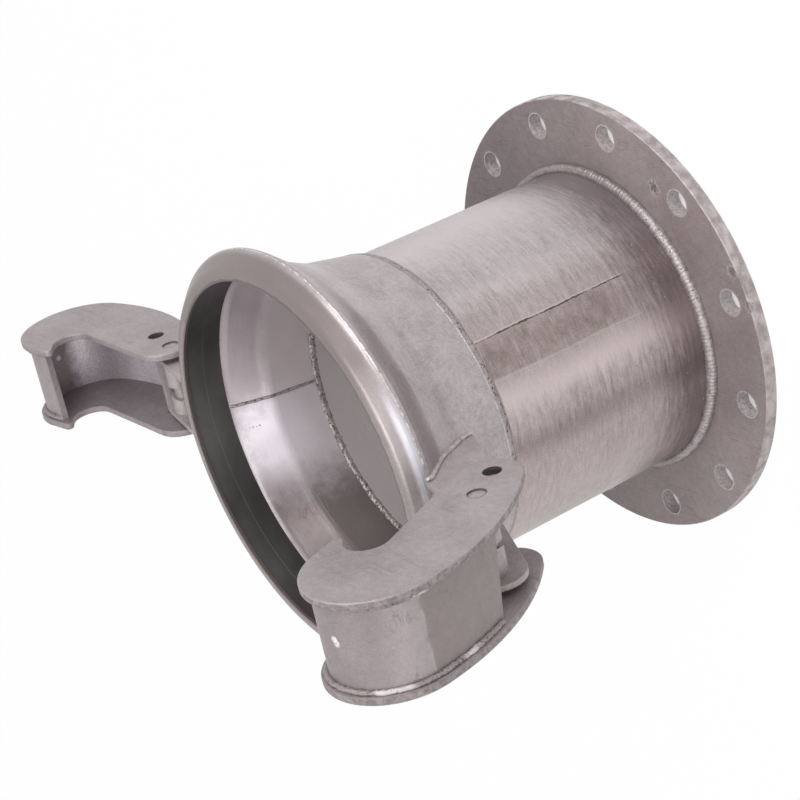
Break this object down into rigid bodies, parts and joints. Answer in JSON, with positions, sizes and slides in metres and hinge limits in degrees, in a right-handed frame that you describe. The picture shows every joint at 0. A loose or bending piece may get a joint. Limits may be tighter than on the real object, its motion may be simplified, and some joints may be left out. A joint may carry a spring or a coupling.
{
  "type": "lever lock pipe coupling",
  "caption": "Flanged pipe coupling half with a bell mouth, a rubber ring and hook levers on welded lugs that grip the ball end of the next pipe.",
  "frame": {"origin": "centre of the flange's sealing face", "axes": "+Z along the pipe towards the bell mouth, X through the hook levers, Y along their pins"},
  "size_m": [0.7661, 0.395, 0.4931],
  "materials": {
    "flange_steel": "galvanised, matt",
    "pipe_steel": "galvanised, brushed streaks",
    "bell_steel": "galvanised, satin",
    "lug_steel": "galvanised, matt",
    "lever_steel": "galvanised, matt",
    "pin_steel": "galvanised",
    "weld_bead": "galvanised, rough",
    "seal_rubber": "dull"
  },
  "bodies": {
    "socket": {"flange_plate": "flange_steel", "pipe_stub": "pipe_steel", "bell_socket": "bell_steel", "seal_ring": "seal_rubber", "flange_weld_outer": "weld_bead", "flange_weld_inner": "weld_bead", "neck_weld_outer": "weld_bead", "neck_weld_inner": "weld_bead", "right_lug_tab_a": "lug_steel", "right_lug_tab_b": "lug_steel", "right_lug_tie_bar": "lug_steel", "right_lug_welds": "weld_bead", "right_pivot_pin": "pin_steel", "right_pin_bush_a": "pin_steel", "right_pin_bush_b": "pin_steel", "left_lug_tab_a": "lug_steel", "left_lug_tab_b": "lug_steel", "left_lug_tie_bar": "lug_steel", "left_lug_welds": "weld_bead", "left_pivot_pin": "pin_steel", "left_pin_bush_a": "pin_steel", "left_pin_bush_b": "pin_steel"},
    "right_lever": {"right_lever_plate_a": "lever_steel", "right_lever_plate_b": "lever_steel", "right_lever_web": "lever_steel", "right_lever_welds": "weld_bead"},
    "left_lever": {"left_lever_plate_a": "lever_steel", "left_lever_plate_b": "lever_steel", "left_lever_web": "lever_steel", "left_lever_welds": "weld_bead"}
  },
  "joints": [
    {"name": "right_lever_hinge", "type": "hinge", "parent": "socket", "child": "right_lever", "pos_m": [0.249, 0, 0.333], "axis": [0, -1, 0], "range_deg": [-136, 38.5]},
    {"name": "left_lever_hinge", "type": "hinge", "parent": "socket", "child": "left_lever", "pos_m": [-0.249, 0, 0.3032], "axis": [0, 1, 0], "range_deg": [-72.5, 102]}
  ]
}
